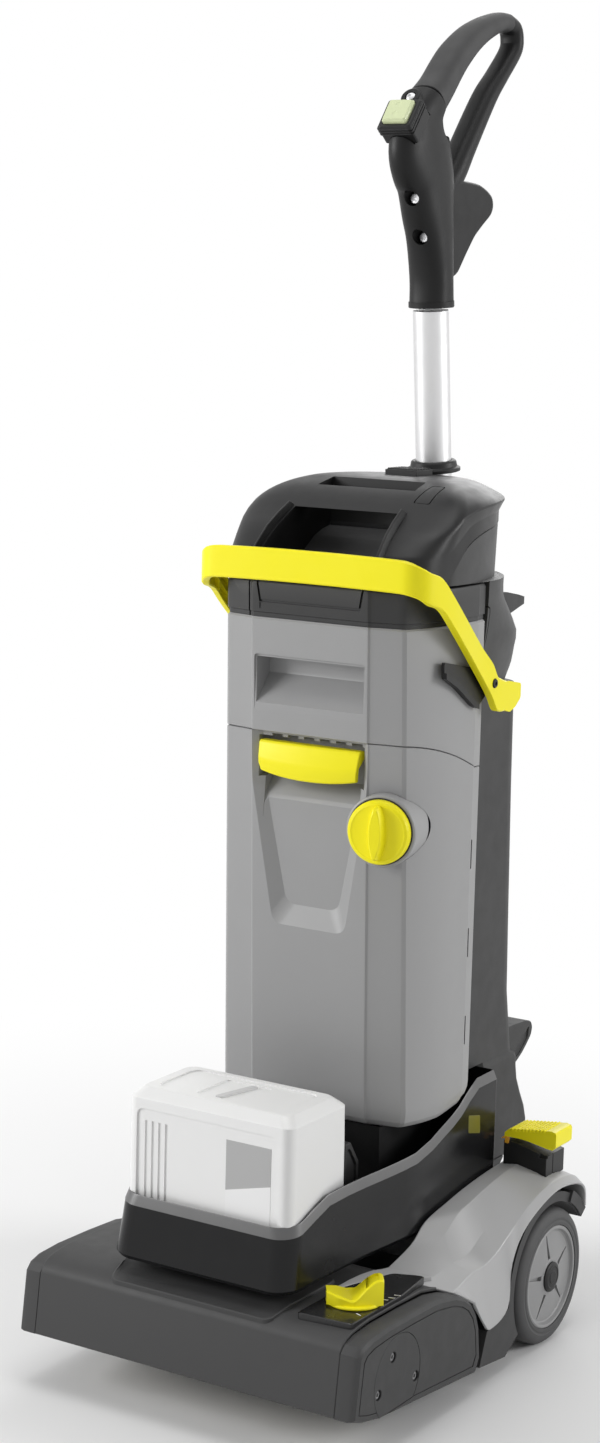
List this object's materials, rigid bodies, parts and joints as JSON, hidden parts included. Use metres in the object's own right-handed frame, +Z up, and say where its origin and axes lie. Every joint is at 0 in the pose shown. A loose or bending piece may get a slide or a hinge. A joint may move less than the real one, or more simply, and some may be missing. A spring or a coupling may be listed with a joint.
{
  "type": "walk-behind floor scrubber",
  "caption": "Upright battery floor scrubber: low brush head on wheels, tilting tower with stacked tanks, bail, slip-in battery and a telescoping pole with a looped grip.",
  "frame": {"origin": "on the floor, under the centre of the machine's box", "axes": "+X is the machine's right, -Y its front (the brush head), +Y the operator's side, +Z up"},
  "size_m": [0.335, 0.5052, 1.186],
  "materials": {
    "dark_shell": "fine-textured moulded plastic",
    "black_gloss": "polished",
    "black_plastic": "satin moulded plastic",
    "tank_grey": "satin moulded plastic",
    "cover_grey": "satin moulded plastic",
    "battery_white": "satin moulded plastic",
    "yellow": "satin moulded plastic",
    "rubber": "matte",
    "wheel_grey": "satin moulded plastic",
    "aluminium": "brushed, clear anodised",
    "steel": "zinc plated",
    "bristle": "nylon bristle",
    "grip_grey": "soft-touch",
    "switch_lens": "translucent"
  },
  "bodies": {
    "root": {"axle": "steel", "bearing_cover": "dark_shell", "brush_housing": "dark_shell", "brush_motor": "steel", "chassis": "dark_shell", "cover_screw_1": "steel", "cover_screw_2": "steel", "cover_screw_3": "steel", "deck_panel": "black_plastic", "end_cap_left": "dark_shell", "end_cap_right": "dark_shell", "park_skid_left": "rubber", "park_skid_right": "rubber", "pedal_block": "black_plastic", "pivot_bracket_left": "dark_shell", "pivot_bracket_right": "dark_shell", "tower_pivot_pin": "steel", "wheel_arch_left": "dark_shell", "wheel_arch_right": "dark_shell", "wheel_cover_left": "cover_grey", "wheel_cover_right": "cover_grey"},
    "brush": {"brush_core": "black_plastic", "brush_bristles": "bristle"},
    "suction_frame": {"squeegee_frame": "black_plastic", "squeegee_lip_front": "rubber", "squeegee_lip_rear": "rubber"},
    "wheel_left": {"wheel_left_tyre": "rubber", "wheel_left_hub": "wheel_grey", "wheel_left_cap": "black_plastic"},
    "wheel_right": {"wheel_right_tyre": "rubber", "wheel_right_hub": "wheel_grey", "wheel_right_cap": "black_plastic"},
    "pedal": {"squeegee_pedal": "yellow"},
    "selector": {"selector_knob": "yellow"},
    "tower": {"battery_connector": "black_plastic", "battery_tray": "black_gloss", "carry_dome": "black_plastic", "pole_collar": "black_plastic", "rear_column": "dark_shell", "suction_motor": "steel", "tank_seat": "black_plastic", "top_housing": "dark_shell"},
    "tanks": {"lower_tank": "tank_grey", "upper_tank": "tank_grey", "tank_lid": "black_plastic", "filler_neck": "tank_grey", "bail_bracket_left": "dark_shell", "bail_bracket_right": "dark_shell"},
    "filler_cap": {"filler_cap": "yellow"},
    "latch": {"tank_latch": "yellow"},
    "bail": {"bail": "yellow"},
    "battery": {"battery_pack": "battery_white"},
    "handle": {"pole": "aluminium", "grip_body": "black_plastic", "grip_pad": "grip_grey", "grip_screw_1": "steel", "grip_screw_2": "steel", "switch_boot": "rubber"},
    "power_rocker": {"power_switch": "switch_lens"},
    "release_button": {"pole_button": "black_plastic"}
  },
  "joints": [
    {"name": "brush_spin", "type": "hinge", "parent": "root", "child": "brush", "pos_m": [0, -0.1835, 0.062], "axis": [1, 0, 0], "continuous": true},
    {"name": "wheel_left_spin", "type": "hinge", "parent": "root", "child": "wheel_left", "pos_m": [-0.1325, 0.0925, 0.062], "axis": [1, 0, 0], "continuous": true},
    {"name": "wheel_right_spin", "type": "hinge", "parent": "root", "child": "wheel_right", "pos_m": [0.1325, 0.0925, 0.062], "axis": [1, 0, 0], "continuous": true},
    {"name": "pedal_press", "type": "hinge", "parent": "root", "child": "pedal", "pos_m": [0.11, 0.115, 0.183], "axis": [0, 1, 0], "range_deg": [0, 6]},
    {"name": "suction_lift", "type": "slide", "parent": "root", "child": "suction_frame", "axis": [0, 0, -1], "range_m": [0, 0.008]},
    {"name": "selector_turn", "type": "hinge", "parent": "root", "child": "selector", "pos_m": [0.124, -0.186, 0.1225], "axis": [0, 0, 1], "range_deg": [-40, 40]},
    {"name": "tower_tilt", "type": "hinge", "parent": "root", "child": "tower", "pos_m": [0, 0.093, 0.11], "axis": [-1, 0, 0], "range_deg": [0, 60]},
    {"name": "tank_slide", "type": "slide", "parent": "tower", "child": "tanks", "axis": [0, -1, 0], "range_m": [0, 0.03]},
    {"name": "cap_twist", "type": "hinge", "parent": "tanks", "child": "filler_cap", "pos_m": [0.0755, -0.08, 0.488], "axis": [0.1994, -0.9799, 0], "range_deg": [0, 90]},
    {"name": "latch_pull", "type": "hinge", "parent": "tanks", "child": "latch", "pos_m": [0, -0.0745, 0.5485], "axis": [-1, 0, 0], "range_deg": [0, 20]},
    {"name": "bail_swing", "type": "hinge", "parent": "tanks", "child": "bail", "pos_m": [0, 0.0345, 0.604], "axis": [1, 0, 0], "range_deg": [0, 55]},
    {"name": "battery_lift", "type": "slide", "parent": "tower", "child": "battery", "axis": [0, 0, 1], "range_m": [0, 0.06]},
    {"name": "handle_slide", "type": "slide", "parent": "tower", "child": "handle", "axis": [0, -0.1044, 0.9945], "range_m": [-0.09, 0]},
    {"name": "button_press", "type": "slide", "parent": "tower", "child": "release_button", "axis": [0, 0, -1], "range_m": [0, 0.003], "stiffness_N_per_m": 500, "springref_m": -0.001},
    {"name": "rocker_turn", "type": "hinge", "parent": "handle", "child": "power_rocker", "pos_m": [0, 0.04464, 1.08185], "axis": [1, 0, 0], "range_deg": [-4, 4]}
  ],
  "couplings": [
    {"joint": "pedal_press", "follows": "suction_lift", "rad_per_m": 13.08}
  ]
}
